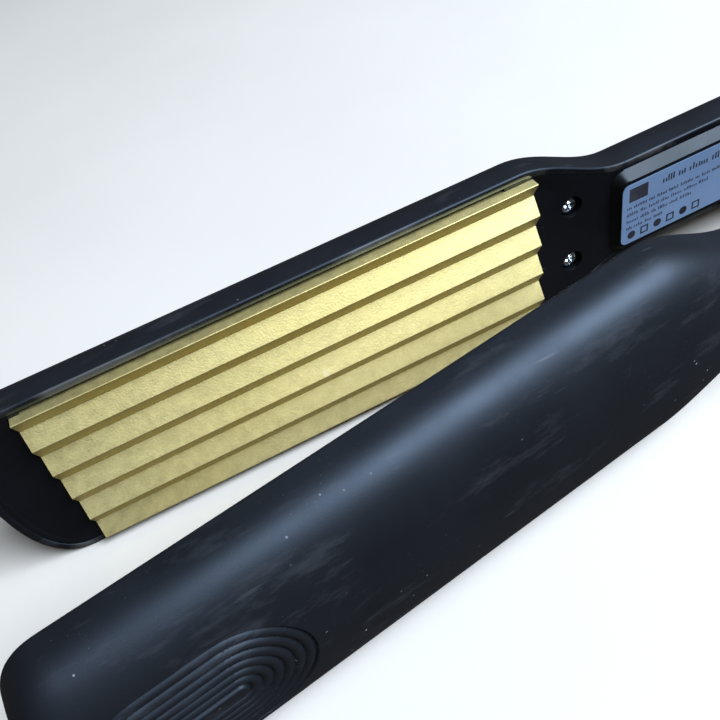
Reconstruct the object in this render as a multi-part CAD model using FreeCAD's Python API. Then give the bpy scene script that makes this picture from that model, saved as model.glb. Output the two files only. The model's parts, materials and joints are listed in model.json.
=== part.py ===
import FreeCAD, Part
import math
import os

# Hair crimper lying on its side: Z up along the hinge axis, tips towards -X, hinge towards +X.
# Each arm is drawn closed in its own frame, x from the hinge axis (negative towards the tip),
# y outwards from the plane where the two arms meet, z along the hinge pin. Units: millimetres.

# ---- driving dimensions ----
OPEN_ANGLE = 8.7                 # between the arms at rest, degrees
HINGE_TO_PLATE_TIP = 264.6
PLATE_LENGTH = 100.0
RIDGE_PITCH = 7.06
RIDGE_DEPTH = 2.27
RIDGE_COUNT = 5                  # pitches across a plate
CLOSED_GAP = 0.5                 # between the corrugations when closed
RIM_DEPTH = 2.0                  # from the ridge tops down to the casing rim beside the plate
HANDLE_RIM_DEPTH = 2.9           # the same along the handle
HEAD_HALF_WIDTH = 19.85
HANDLE_HALF_WIDTH = 11.4
HINGE_HALF_WIDTH = 16.5
CROWN_DEPTH = 12.7               # casing depth behind the head's rim
TIP_OVERHANG = 12.4              # casing beyond the plate's tip end
TIP_LENGTH = 10.4                # over which the outline rounds off
TIP_POWER = 2.4
NOSE_LENGTH = 6.0                # over which the crown comes down to the tip
NOSE_POWER = 2.5
CROWN_POWER = 2.5                # squareness of the casing's section
SIDE_WALL_HEIGHT = 2.5           # straight wall above the rim
SIDE_WALL_SHARE = 0.3            # at most this share of the crown
WALL = 1.45
POST_SINK = 0.6                  # the screw posts stop this far below the casing's outside
FIT = 0.15                       # clearance around the covers
COVER_THICKNESS = 1.8
COVER_DEPTH = 2.6                # from the ridge tops down to the cover's face
PAD_DEPTH = 0.9                  # from the ridge tops down to the label pad's face
FINGER_LENGTH = 6.0              # the covers' fingers reach past the plate's ends beside it
FINGER_STEP = 0.4                # the fingers stand above the cover's face by this

# ---- worked-out dimensions ----
BETA = OPEN_ANGLE / 2
MID = (RIDGE_DEPTH - CLOSED_GAP) / 2
PLATE_HALF_WIDTH = RIDGE_PITCH * RIDGE_COUNT / 2
RIM_Y = RIM_DEPTH - MID
HANDLE_RIM_Y = HANDLE_RIM_DEPTH - MID
CROWN_Y = RIM_Y + CROWN_DEPTH
COVER_Y = COVER_DEPTH - MID
PAD_Y = PAD_DEPTH - MID
BACK_Y = COVER_Y + COVER_THICKNESS
KNUCKLE_RADIUS = CROWN_Y
PLATE_TIP_X = -HINGE_TO_PLATE_TIP
PLATE_HEEL_X = PLATE_TIP_X + PLATE_LENGTH
TIP_X = PLATE_TIP_X - TIP_OVERHANG

# ---- along the arm ----
SHOULDER_START_X = PLATE_TIP_X + 97.0     # the head narrows into the handle
SHOULDER_END_X = PLATE_TIP_X + 121.5
FLARE_START_X = -75.0                     # the handle widens towards the hinge
FLARE_END_X = -20.0
COVER_START_X = PLATE_HEEL_X + 0.3
CAVITY_END_X = -16.2
TIP_COVER_END_X = PLATE_TIP_X - 0.3
FAR = 30.0                                # past every surface of the hinge

# ---- hinge ----
BOSS_HALF = 11.5                 # the cord arm's knuckle, half its height
EAR_INNER = 12.1                 # the free arm's ears start here
EAR_RADIUS = 10.5
SWING_GAP = 0.5
PIN_RADIUS = 2.5
PIN_HALF = 15.5
PIN_CHAMFER = 0.4
RUNNING_GAP = 0.05
CAP_ROUNDING = 1.6
CAP_SPIGOT_RADIUS = 5.0
CAP_SPIGOT_DEPTH = 1.0
WASHER_RADIUS = 8.0
WASHER_THICKNESS = 0.4
BOSS_CAVITY_RADIUS = 9.4
BOSS_CAVITY_HALF = 8.6
NECK_RADIUS = 6.4
NECK_BORE = 4.6
NECK_BORE_START_X = 5.0
NECK_END_X = 17.5
BUSH_BORE = 3.2
BUSH_START_X = 9.0
BUSH_END_X = 19.5
BUSH_ROUNDING = 1.0
WINDOW = (-18.0, -5.0, -6.3, 7.3, -7.5, 7.5)   # way for the leads from the handle into the knuckle
SPRING_RADIUS = 5.2
SPRING_WIRE = 0.65
SPRING_TURNS = 4.5
SPRING_PITCH = 1.8
SPRING_HEIGHT = SPRING_TURNS * SPRING_PITCH
SPRING_LEG = 15.5

# ---- screws ----
SCREW_SPACING = 13.7
SCREW_HEAD_RADIUS = 2.05
SCREW_HEAD_HEIGHT = 1.4
SCREW_HEAD_ROUNDING = 0.9
SCREW_RADIUS = 1.1
SCREW_PILOT_DEPTH = 5.0
WELL_RADIUS = 2.35               # the screws stand in deep wells in the cover
WELL_DEPTH = 2.4
WELL_WALL = 0.9
WELL_FLOOR = 1.2
RECESS_HALF_LENGTH = 1.2         # the screwdriver's cross
RECESS_HALF_WIDTH = 0.35
RECESS_DEPTH = 0.8
WELL_BACK_Y = COVER_Y + WELL_DEPTH + WELL_FLOOR
POST_RADIUS = 2.9
HEEL_SCREW_X = PLATE_TIP_X + 108.5
REAR_SCREW_X = -22.0

# ---- cord clamp ----
CLAMP_X = -33.0
CLAMP_SCREW_Z = 6.2
CLAMP_FRONT_Y = 5.4
CLAMP_BACK_Y = 7.6
CLAMP_HALF_LENGTH = 2.5
CLAMP_HALF_WIDTH = 8.6
CLAMP_GROOVE_RADIUS = 2.2
CLAMP_GROOVE_Y = 8.6
CLAMP_POST_RADIUS = 2.2
CLAMP_PILOT_RADIUS = 1.0
CLAMP_PILOT_DEPTH = 2.7
CLAMP_SCREW_HEAD_RADIUS = 2.0
CLAMP_SCREW_LENGTH = 4.2

# ---- label pad, lamp and switch ----
PAD_START_X = PLATE_TIP_X + 118.0
PAD_LENGTH = 58.0
PAD_HALF_WIDTH = 9.7
PAD_CORNER = 3.5
PAD_CHAMFER = 1.5
LABEL_MARGIN = 1.6               # from the pad's end to the label
LABEL_LENGTH = 50.0
LABEL_WIDTH = 14.5
LABEL_CORNER = 1.6
LABEL_THICKNESS = 0.12
LENS_X = -76.0
LENS_RADIUS = 1.6
LENS_FLANGE = 0.8
LENS_FLANGE_THICKNESS = 0.6
LENS_PROUD = 0.5
SWITCH_X = -58.0
SWITCH_TRAVEL = 4.0
SWITCH_HALF_WIDTH = 4.6
SWITCH_DEPTH = 5.2
SWITCH_END = 8.5                 # the switch's case beyond the slider's place
KNOB_LENGTH = 7.0
KNOB_WIDTH = 4.4
KNOB_TOP_Y = 0.6
KNOB_RIB = 0.5
KNOB_RIB_SPACING = 2.2
KNOB_FOOT = 0.8                  # the foot's overhang beyond the knob
KNOB_FOOT_HALF_WIDTH = 2.6
SLOT_CLEARANCE = 0.3
BOARD_Y = BACK_Y + 3.6
BOARD_THICKNESS = 1.0
BOARD_HALF_WIDTH = 8.0
CHIP_HEIGHT = 1.2
LAMP_RADIUS = 1.4

# ---- heated plate and what presses on its back ----
PLATE_BACK_Y = RIDGE_DEPTH + 2.4 - MID
PLATE_BEVEL = 0.2
RAIL_INSET = 4.0                 # the rails stop this far from the plate's ends
RAIL_HEIGHT = 3.4
RAIL_INNER_Z = 8.0
RAIL_THICKNESS = 1.6
HEATER_START_X = PLATE_TIP_X + 12
HEATER_END_X = PLATE_HEEL_X - 10
HEATER_HALF_WIDTH = 7.4
HEATER_TOP_Y = PLATE_BACK_Y + 2.4
TAB_LENGTH = 8.0
TAB_HALF_WIDTH = 1.5
TAB_Z = 3.0
SHEET_HALF_WIDTH = 7.6
SHEET_TOP_Y = HEATER_TOP_Y + 0.3
CLAMP_STRIP_TOP_Y = SHEET_TOP_Y + 0.6
BRIDGE_COUNT = 4
BRIDGE_PITCH = 18.0
BRIDGE_LENGTH = 8.0
BRIDGE_HALF_WIDTH = 4.0
BRIDGE_RISE = 1.2
BRIDGE_SHEET = 0.6
CARRIER_LENGTH = 4.0
CARRIER_HALF_WIDTH = 12.5
CARRIER_FOOT = 2.4
CARRIER_TOP_Y = 10.2
FUSE_X = PLATE_TIP_X + 20.0
FUSE_LENGTH = 11.0
FUSE_WIRE = 5.0
FUSE_RADIUS = 1.2
FUSE_WIRE_RADIUS = 0.4
FUSE_Y = CLAMP_STRIP_TOP_Y + 1.4
FUSE_Z = 5.6
THERMOSTAT_X = PLATE_TIP_X + 63.5
THERMOSTAT_LENGTH = 9.0
THERMOSTAT_HALF_WIDTH = 3.5
THERMOSTAT_BOTTOM_Y = CLAMP_STRIP_TOP_Y + BRIDGE_RISE
THERMOSTAT_HEIGHT = 1.8
LEAD_RADIUS = 0.9
LEAD_Y = PLATE_BACK_Y + 2.4
LEAD_Z = 2.6

# ---- grip rings on the free arm ----
GRIP_RINGS = 7
GRIP_OUTER_RADIUS = 11.8
GRIP_PITCH = 1.7
GRIP_GROOVE = 0.7
GRIP_DEPTH = 0.6
GRIP_CENTRES = (PLATE_TIP_X + 3.0, PLATE_TIP_X + 13.9)

UP = FreeCAD.Vector(0, 0, 1)
OUT = FreeCAD.Vector(0, 1, 0)
ALONG = FreeCAD.Vector(1, 0, 0)
ORIGIN = FreeCAD.Vector(0, 0, 0)


# ---------------------------------------------------------------- the casing's form
def vec(x, y, z):
    return FreeCAD.Vector(x, y, z)


def clamped(value):
    return min(1.0, max(0.0, value))


def smooth(value, start, end):
    t = clamped((value - start) / (end - start))
    return t * t * (3 - 2 * t)


def half_width(x):
    """Half the casing's width (along z) at a distance x from the hinge axis."""
    width = HEAD_HALF_WIDTH
    width += (HANDLE_HALF_WIDTH - HEAD_HALF_WIDTH) * smooth(x, SHOULDER_START_X, SHOULDER_END_X)
    width += (HINGE_HALF_WIDTH - HANDLE_HALF_WIDTH) * smooth(x, FLARE_START_X, FLARE_END_X)
    e = clamped((TIP_LENGTH - (x - TIP_X)) / TIP_LENGTH)
    return width * (1 - e ** TIP_POWER) ** (1 / TIP_POWER)


def crown(x):
    """Depth of the casing behind the head's rim at a distance x from the hinge axis."""
    nose = clamped((NOSE_LENGTH - (x - TIP_X)) / NOSE_LENGTH)
    return CROWN_DEPTH * (1 - nose ** NOSE_POWER) ** (1 / NOSE_POWER)


def rim_y(x):
    """The rim lies a little deeper along the handle than beside the plate."""
    return RIM_Y + (HANDLE_RIM_Y - RIM_Y) * smooth(x, SHOULDER_START_X, SHOULDER_END_X)


def stations(start, end):
    """Places along the arm where the casing's section is drawn, close together where it curves."""
    shares = (0.998, 0.985, 0.96, 0.92, 0.86, 0.78, 0.66, 0.5, 0.3, 0.0)
    nose = [TIP_X + TIP_LENGTH * (1 - e) for e in shares]
    shoulder = [SHOULDER_START_X + (SHOULDER_END_X - SHOULDER_START_X) * i / 8 for i in range(9)]
    handle = [-135.0, -105.0, FLARE_START_X]
    flare = [FLARE_START_X + (FLARE_END_X - FLARE_START_X) * i / 7 for i in range(1, 8)]
    inner = [x for x in nose + shoulder + handle + flare if start + 0.05 < x < end - 0.05]
    return [start] + inner + [end]


def section(x, inset, below_rim):
    """The casing's section at x: straight walls up from the rim and a squarish rounded crown."""
    width = half_width(x) - inset
    depth = crown(x) - inset
    floor_y = rim_y(x) - below_rim
    wall_top = rim_y(x) + min(SIDE_WALL_HEIGHT, SIDE_WALL_SHARE * depth)
    rise = RIM_Y + depth - wall_top
    points = []
    steps = 16
    for i in range(steps + 1):
        t = math.pi * i / steps
        c = math.cos(t)
        z = width * math.copysign(abs(c) ** (2 / CROWN_POWER), c)
        y = wall_top + rise * math.sin(t) ** (2 / CROWN_POWER)
        points.append(vec(x, y, z))
    low = vec(x, floor_y, width)
    high = vec(x, floor_y, -width)
    corners = [low] + points + [high, low]
    return Part.makePolygon(corners)


def casing_solid(start, end, inset, below_rim):
    wires = [section(x, inset, below_rim) for x in stations(start, end)]
    return Part.makeLoft(wires, True, True)


def plan_prism(start, end, inset, y_from, y_to):
    """A flat plate whose outline follows the casing, inset by the given distance."""
    xs = stations(start, end)
    side = [vec(x, y_from, half_width(x) - inset) for x in xs]
    other = [vec(p.x, p.y, -p.z) for p in reversed(side)]
    outline = Part.makePolygon(side + other + [side[0]])
    return Part.Face(outline).extrude(vec(0, y_to - y_from, 0))


# ---------------------------------------------------------------- simple solids
def box(x0, x1, y0, y1, z0, z1):
    return Part.makeBox(x1 - x0, y1 - y0, z1 - z0, vec(x0, y0, z0))


def rounded_block(x0, x1, y0, y1, half_z, radius):
    block = box(x0, x1, y0, y1, -half_z, half_z)
    upright = [e for e in block.Edges if abs(e.Vertexes[0].Y - e.Vertexes[-1].Y) > 1e-6]
    return block.makeFillet(radius, upright)


def rod_out(x, z, y0, y1, radius):
    return Part.makeCylinder(radius, y1 - y0, vec(x, y0, z), OUT)


def rod_along(x0, x1, y, z, radius):
    return Part.makeCylinder(radius, x1 - x0, vec(x0, y, z), ALONG)


def disc(z0, z1, radius):
    return Part.makeCylinder(radius, z1 - z0, vec(0, 0, z0), UP)


def ring(z0, z1, outer, inner):
    return disc(z0, z1, outer).cut(disc(z0, z1, inner))


def joined(shapes):
    result = shapes[0]
    for shape in shapes[1:]:
        result = result.fuse(shape)
    return result.removeSplitter()


def on_both_sides(shape):
    """The shape and its mirror image across the arm's middle plane, as two solids."""
    return Part.makeCompound([shape, shape.mirror(ORIGIN, UP)])


# ---------------------------------------------------------------- casings
def casing_outside():
    return casing_solid(TIP_X + 0.03, 0.0, 0.0, 0.0)


def hollow_casing():
    inside = casing_solid(TIP_X + WALL + 0.1, CAVITY_END_X, WALL, 3.0)
    return casing_outside().cut(inside)


def pierced_post(x, z, y0, radius, hole_radius, hole_depth):
    """A post from y0 up into the crown's skin, with a blind hole for its screw."""
    post = rod_out(x, z, y0, FAR, radius)
    post = post.common(casing_solid(x - 2 * radius, x + 2 * radius, POST_SINK, 0.0))
    return post.cut(rod_out(x, z, y0 - 1, y0 + hole_depth, hole_radius))


def casing_posts():
    places = [(x, side * SCREW_SPACING / 2) for x in (HEEL_SCREW_X, REAR_SCREW_X) for side in (1, -1)]
    return [pierced_post(x, z, WELL_BACK_Y, POST_RADIUS, SCREW_RADIUS, SCREW_PILOT_DEPTH) for x, z in places]


def clamp_posts():
    return [pierced_post(CLAMP_X, z, CLAMP_BACK_Y, CLAMP_POST_RADIUS, CLAMP_PILOT_RADIUS, CLAMP_PILOT_DEPTH)
            for z in (CLAMP_SCREW_Z, -CLAMP_SCREW_Z)]


def cord_casing():
    arm = joined([hollow_casing()] + casing_posts() + clamp_posts())
    swing = EAR_RADIUS + SWING_GAP
    for z0, z1 in ((BOSS_HALF, FAR), (-FAR, -BOSS_HALF)):
        arm = arm.cut(disc(z0, z1, swing))
    boss = disc(-BOSS_HALF, BOSS_HALF, KNUCKLE_RADIUS)
    neck = rod_along(0, NECK_END_X, 0, 0, NECK_RADIUS)
    casing = joined([place_cord(arm), boss, neck])
    casing = casing.cut(disc(-BOSS_CAVITY_HALF, BOSS_CAVITY_HALF, BOSS_CAVITY_RADIUS))
    casing = casing.cut(disc(-FAR, FAR, PIN_RADIUS + RUNNING_GAP))
    casing = casing.cut(box(*WINDOW))
    return casing.cut(rod_along(NECK_BORE_START_X, FAR, 0, 0, NECK_BORE))


def grip_grooves():
    """Concentric rounded-end grooves, as deep bands that the crown's skin is cut with."""
    bands = []
    for i in range(GRIP_RINGS):
        radius = GRIP_OUTER_RADIUS - i * GRIP_PITCH
        bands.append(stadium(radius).cut(stadium(radius - GRIP_GROOVE)))
    return bands


def stadium(radius):
    x0, x1 = GRIP_CENTRES
    y0 = RIM_Y + SIDE_WALL_HEIGHT
    ends = [rod_out(x, 0, y0, FAR, radius) for x in GRIP_CENTRES]
    middle = box(x0, x1, y0, FAR, -radius, radius)
    return joined([middle] + ends)


def free_casing():
    outside = casing_outside()
    below_skin = casing_solid(TIP_X + 2 * GRIP_DEPTH, 0.0, GRIP_DEPTH, 0.0)
    arm = joined([hollow_casing()] + casing_posts())
    for band in grip_grooves():
        groove = band.common(outside).cut(below_skin)
        arm = arm.cut(groove)
    ears = [disc(EAR_INNER, HINGE_HALF_WIDTH, EAR_RADIUS), disc(-HINGE_HALF_WIDTH, -EAR_INNER, EAR_RADIUS)]
    arm = joined([arm] + ears)
    arm = arm.cut(disc(-EAR_INNER, EAR_INNER, KNUCKLE_RADIUS + SWING_GAP))
    arm = arm.cut(disc(-FAR, FAR, PIN_RADIUS))
    socket_floor = HINGE_HALF_WIDTH - CAP_SPIGOT_DEPTH
    arm = arm.cut(disc(socket_floor, FAR, CAP_SPIGOT_RADIUS))
    arm = arm.cut(disc(-FAR, -socket_floor, CAP_SPIGOT_RADIUS))
    leg_hole = rod_along(-18, -8, -SPRING_RADIUS, -SPRING_HEIGHT / 2, 2 * SPRING_WIRE)
    return place_free(arm).cut(leg_hole)


# ---------------------------------------------------------------- covers
def cover_blank():
    """Flat cover over the handle's open side, with a finger on each side of the plate's end."""
    cover = plan_prism(COVER_START_X, CAVITY_END_X - FIT, WALL + FIT, COVER_Y, BACK_Y)
    finger = box(PLATE_HEEL_X - FINGER_LENGTH, COVER_START_X + 1, COVER_Y - FINGER_STEP, BACK_Y,
                 PLATE_HALF_WIDTH + 0.1, FAR)
    finger = finger.common(plan_prism(PLATE_HEEL_X - 10, COVER_START_X + 4, WALL + 0.1, 0, 10))
    return joined([cover, finger, finger.mirror(ORIGIN, UP)])


def with_screw_wells(cover):
    """Deep wells for the screws' heads: each is a cup on the cover's back."""
    places = [(x, side * SCREW_SPACING / 2) for x in (HEEL_SCREW_X, REAR_SCREW_X) for side in (1, -1)]
    cups = [rod_out(x, z, BACK_Y - 1, WELL_BACK_Y, WELL_RADIUS + WELL_WALL) for x, z in places]
    cover = joined([cover] + cups)
    for x, z in places:
        cover = cover.cut(rod_out(x, z, COVER_Y - 1, COVER_Y + WELL_DEPTH, WELL_RADIUS))
        cover = cover.cut(rod_out(x, z, COVER_Y, WELL_BACK_Y + 1, SCREW_RADIUS + 0.2))
    return cover


def label_pad():
    pad = rounded_block(PAD_START_X, PAD_START_X + PAD_LENGTH, PAD_Y, COVER_Y + 0.5,
                        PAD_HALF_WIDTH, PAD_CORNER)
    top_edges = [e for e in pad.Edges if max(v.Y for v in e.Vertexes) < PAD_Y + 1e-6]
    return pad.makeChamfer(PAD_CHAMFER, top_edges)


def cord_cover():
    cover = with_screw_wells(joined([cover_blank(), label_pad()]))
    slot_length = KNOB_LENGTH + SWITCH_TRAVEL + 2 * SLOT_CLEARANCE
    slot_start = SWITCH_X - KNOB_LENGTH / 2 - SLOT_CLEARANCE
    half_slot = KNOB_WIDTH / 2 + SLOT_CLEARANCE
    cover = cover.cut(box(slot_start, slot_start + slot_length, -FAR, FAR, -half_slot, half_slot))
    return cover.cut(rod_out(LENS_X, 0, -FAR, FAR, LENS_RADIUS))


def free_cover():
    return with_screw_wells(cover_blank())


def tip_cover():
    """Cover in front of the plate: a raised face inside a narrow lower margin, and two fingers."""
    start = TIP_X + WALL + 2 * FIT + 0.4
    end = TIP_COVER_END_X
    slab = plan_prism(start, end, WALL + FIT, RIM_Y + 0.5, BACK_Y)
    step = plan_prism(start + 1.2, end, WALL + 1.4, RIM_Y + 0.1, RIM_Y + 0.6)
    finger = box(end - 1, PLATE_TIP_X + 2, COVER_Y - FINGER_STEP, BACK_Y, PLATE_HALF_WIDTH + 0.1,
                 HEAD_HALF_WIDTH - WALL - 0.1)
    return joined([slab, step, finger, finger.mirror(ORIGIN, UP)])


# ---------------------------------------------------------------- heated plates
def plate_profile(first_is_crest):
    profile = []
    for i in range(2 * RIDGE_COUNT + 1):
        z = -PLATE_HALF_WIDTH + i * RIDGE_PITCH / 2
        is_crest = (i % 2 == 0) == first_is_crest
        y = -MID if is_crest else RIDGE_DEPTH - MID
        profile.append(vec(PLATE_TIP_X, y, z))
    far_corner = vec(PLATE_TIP_X, PLATE_BACK_Y, PLATE_HALF_WIDTH)
    near_corner = vec(PLATE_TIP_X, PLATE_BACK_Y, -PLATE_HALF_WIDTH)
    return profile + [far_corner, near_corner, profile[0]]


def end_wedge(end_x, inward):
    """What the bevel takes off the ridges at one end of the plate."""
    over_tops = -MID - 1
    reach = PLATE_BEVEL * (RIDGE_DEPTH + 1) / RIDGE_DEPTH
    corners = [vec(end_x - inward, over_tops, -FAR), vec(end_x + inward * reach, over_tops, -FAR),
               vec(end_x, RIDGE_DEPTH - MID, -FAR), vec(end_x - inward, RIDGE_DEPTH - MID, -FAR)]
    return Part.Face(Part.makePolygon(corners + [corners[0]])).extrude(vec(0, 0, 2 * FAR))


def crimp_plate(first_is_crest):
    """Corrugated extrusion with a channel for the heater on its back."""
    face = Part.Face(Part.makePolygon(plate_profile(first_is_crest)))
    plate = face.extrude(vec(PLATE_LENGTH, 0, 0))
    plate = plate.cut(end_wedge(PLATE_TIP_X, 1)).cut(end_wedge(PLATE_HEEL_X, -1))
    rail = box(PLATE_TIP_X + RAIL_INSET, PLATE_HEEL_X - RAIL_INSET, PLATE_BACK_Y, PLATE_BACK_Y + RAIL_HEIGHT,
               RAIL_INNER_Z, RAIL_INNER_Z + RAIL_THICKNESS)
    return joined([plate, rail, rail.mirror(ORIGIN, UP)])


def heater():
    body = box(HEATER_START_X, HEATER_END_X, PLATE_BACK_Y, HEATER_TOP_Y,
               -HEATER_HALF_WIDTH, HEATER_HALF_WIDTH)
    tabs = [box(HEATER_END_X, HEATER_END_X + TAB_LENGTH, PLATE_BACK_Y + 0.9, PLATE_BACK_Y + 1.5,
                z - TAB_HALF_WIDTH, z + TAB_HALF_WIDTH) for z in (TAB_Z, -TAB_Z)]
    return joined([body] + tabs)


def insulation_sheet():
    return box(HEATER_START_X - 1, HEATER_END_X + 1, HEATER_TOP_Y, SHEET_TOP_Y, -SHEET_HALF_WIDTH,
               SHEET_HALF_WIDTH)


def heater_clamp():
    """Spring-steel strip that presses the heater into its channel, with raised bridges."""
    strip = box(HEATER_START_X + 2, HEATER_END_X - 2, SHEET_TOP_Y, CLAMP_STRIP_TOP_Y, -SHEET_HALF_WIDTH,
                SHEET_HALF_WIDTH)
    bridges = []
    for i in range(BRIDGE_COUNT):
        x0 = HEATER_START_X + 8 + i * BRIDGE_PITCH
        x1 = x0 + BRIDGE_LENGTH
        half = BRIDGE_HALF_WIDTH
        strip = strip.cut(box(x0, x1, SHEET_TOP_Y - 1, CLAMP_STRIP_TOP_Y + 1, -half, half))
        top = CLAMP_STRIP_TOP_Y + BRIDGE_RISE
        outer = box(x0 - BRIDGE_SHEET, x1 + BRIDGE_SHEET, SHEET_TOP_Y, top, -half, half)
        under = box(x0, x1, SHEET_TOP_Y - 1, top - BRIDGE_SHEET, -half - 1, half + 1)
        bridges.append(outer.cut(under))
    return joined([strip] + bridges)


def plate_carrier(x):
    """A bridge of heat-proof plastic that holds the plate's rails off the casing."""
    foot_top = PLATE_BACK_Y + RAIL_HEIGHT
    end = x + CARRIER_LENGTH
    bar = box(x, end, foot_top, CARRIER_TOP_Y, -CARRIER_HALF_WIDTH, CARRIER_HALF_WIDTH)
    foot = box(x, end, PLATE_BACK_Y, foot_top, CARRIER_HALF_WIDTH - CARRIER_FOOT, CARRIER_HALF_WIDTH)
    return joined([bar, foot, foot.mirror(ORIGIN, UP)])


def plate_carriers():
    return Part.makeCompound([plate_carrier(PLATE_TIP_X + 5), plate_carrier(PLATE_HEEL_X - 9)])


def thermal_fuse():
    end = FUSE_X + FUSE_LENGTH
    barrel = rod_along(FUSE_X, end, FUSE_Y, FUSE_Z, FUSE_RADIUS)
    wires = [rod_along(x, x + FUSE_WIRE, FUSE_Y, FUSE_Z, FUSE_WIRE_RADIUS) for x in (FUSE_X - FUSE_WIRE, end)]
    return joined([barrel] + wires)


def thermostat():
    return rounded_block(THERMOSTAT_X, THERMOSTAT_X + THERMOSTAT_LENGTH, THERMOSTAT_BOTTOM_Y,
                         THERMOSTAT_BOTTOM_Y + THERMOSTAT_HEIGHT, THERMOSTAT_HALF_WIDTH, 1.0)


def leads(end_x):
    """Two insulated leads from the heater's tabs along the inside of the handle."""
    return on_both_sides(rod_along(HEATER_END_X + 1, end_x, LEAD_Y, LEAD_Z, LEAD_RADIUS))


# ---------------------------------------------------------------- screws
def pan_screw(x, z, seat_y, head_radius, radius, length):
    top = seat_y - SCREW_HEAD_HEIGHT
    head = rod_out(x, z, top, seat_y, head_radius)
    rim = [e for e in head.Edges if len(e.Vertexes) == 1 and e.BoundBox.YMax < top + 0.5]
    head = head.makeFillet(SCREW_HEAD_ROUNDING, rim)
    shank = rod_out(x, z, seat_y, seat_y + length, radius)
    screw = joined([head, shank])
    arms = ((RECESS_HALF_LENGTH, RECESS_HALF_WIDTH), (RECESS_HALF_WIDTH, RECESS_HALF_LENGTH))
    for half_x, half_z in arms:
        screw = screw.cut(box(x - half_x, x + half_x, top - 1, top + RECESS_DEPTH, z - half_z, z + half_z))
    return screw


def cover_screws(x):
    seat = COVER_Y + WELL_DEPTH
    length = WELL_FLOOR + SCREW_PILOT_DEPTH - 1
    return on_both_sides(pan_screw(x, SCREW_SPACING / 2, seat, SCREW_HEAD_RADIUS, SCREW_RADIUS, length))


# ---------------------------------------------------------------- switch, lamp and cord inlet
def rating_label():
    x0 = PAD_START_X + LABEL_MARGIN
    return rounded_block(x0, x0 + LABEL_LENGTH, PAD_Y - LABEL_THICKNESS, PAD_Y,
                         LABEL_WIDTH / 2, LABEL_CORNER)


def indicator_lens():
    flange_top = BACK_Y + LENS_FLANGE_THICKNESS
    stem = rod_out(LENS_X, 0, COVER_Y - LENS_PROUD, flange_top, LENS_RADIUS)
    rim = [e for e in stem.Edges if e.BoundBox.YMax < COVER_Y]
    flange = rod_out(LENS_X, 0, BACK_Y, flange_top, LENS_RADIUS + LENS_FLANGE)
    return joined([stem.makeFillet(0.45, rim[:1]), flange])


def circuit_board():
    top = BOARD_Y + BOARD_THICKNESS
    board = box(LENS_X - 8, LENS_X + 9, BOARD_Y, top, -BOARD_HALF_WIDTH, BOARD_HALF_WIDTH)
    lamp = rod_out(LENS_X, 0, BACK_Y + 1.0, BOARD_Y, LAMP_RADIUS)
    chips = [box(LENS_X - 6, LENS_X - 3, top, top + CHIP_HEIGHT, z, z + 2) for z in (-6, -1, 4)]
    return joined([board, lamp] + chips)


def power_switch_body():
    """Slide switch: a case with an open track for the slider's foot, and two solder lugs."""
    x0 = SWITCH_X - SWITCH_END
    x1 = SWITCH_X + SWITCH_TRAVEL + SWITCH_END
    back = BACK_Y + SWITCH_DEPTH
    case = box(x0, x1, BACK_Y, back, -SWITCH_HALF_WIDTH, SWITCH_HALF_WIDTH)
    reach = KNOB_LENGTH / 2 + KNOB_FOOT + 0.5
    half_track = KNOB_FOOT_HALF_WIDTH + SLOT_CLEARANCE
    track = box(SWITCH_X - reach, SWITCH_X + reach + SWITCH_TRAVEL, BACK_Y - 1, BACK_Y + 1.5,
                -half_track, half_track)
    lugs = [box(x, x + 1, back, back + 1, -1, 1) for x in (x0 + 3, x1 - 4)]
    return joined([case.cut(track)] + lugs)


def power_switch_slider():
    """Thumb slide with three ribs; it stands in its end position nearest the tip."""
    half = KNOB_LENGTH / 2
    side = KNOB_WIDTH / 2
    knob = box(SWITCH_X - half, SWITCH_X + half, KNOB_TOP_Y + KNOB_RIB, BACK_Y + 0.3, -side, side)
    ribs = [box(SWITCH_X + x - KNOB_RIB, SWITCH_X + x + KNOB_RIB, KNOB_TOP_Y, KNOB_TOP_Y + KNOB_RIB + 0.1,
                -side + 0.4, side - 0.4) for x in (-KNOB_RIB_SPACING, 0, KNOB_RIB_SPACING)]
    foot = box(SWITCH_X - half - KNOB_FOOT, SWITCH_X + half + KNOB_FOOT, BACK_Y + 0.25, BACK_Y + 1.2,
               -KNOB_FOOT_HALF_WIDTH, KNOB_FOOT_HALF_WIDTH)
    return joined([knob, foot] + ribs)


def cord_clamp():
    """Bar that presses the cord's sheath against the casing, with a groove across its back."""
    bar = rounded_block(CLAMP_X - CLAMP_HALF_LENGTH, CLAMP_X + CLAMP_HALF_LENGTH, CLAMP_FRONT_Y, CLAMP_BACK_Y,
                        CLAMP_HALF_WIDTH, 1.2)
    for z in (CLAMP_SCREW_Z, -CLAMP_SCREW_Z):
        bar = bar.cut(rod_out(CLAMP_X, z, CLAMP_FRONT_Y - 1, CLAMP_BACK_Y + 1, CLAMP_PILOT_RADIUS + 0.2))
    groove = rod_along(CLAMP_X - 4, CLAMP_X + 4, CLAMP_GROOVE_Y, 0, CLAMP_GROOVE_RADIUS)
    return bar.cut(groove)


def cord_clamp_screws():
    screw = pan_screw(CLAMP_X, CLAMP_SCREW_Z, CLAMP_FRONT_Y, CLAMP_SCREW_HEAD_RADIUS, CLAMP_PILOT_RADIUS,
                      CLAMP_SCREW_LENGTH)
    return on_both_sides(screw)


def cord_inlet_bush():
    barrel = rod_along(BUSH_START_X, NECK_END_X, 0, 0, NECK_BORE)
    collar = rod_along(NECK_END_X, BUSH_END_X, 0, 0, NECK_RADIUS)
    outer = [e for e in collar.Edges if e.BoundBox.XMin > BUSH_END_X - 0.01]
    collar = collar.makeFillet(BUSH_ROUNDING, outer)
    return joined([barrel, collar]).cut(rod_along(0, FAR, 0, 0, BUSH_BORE))


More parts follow.
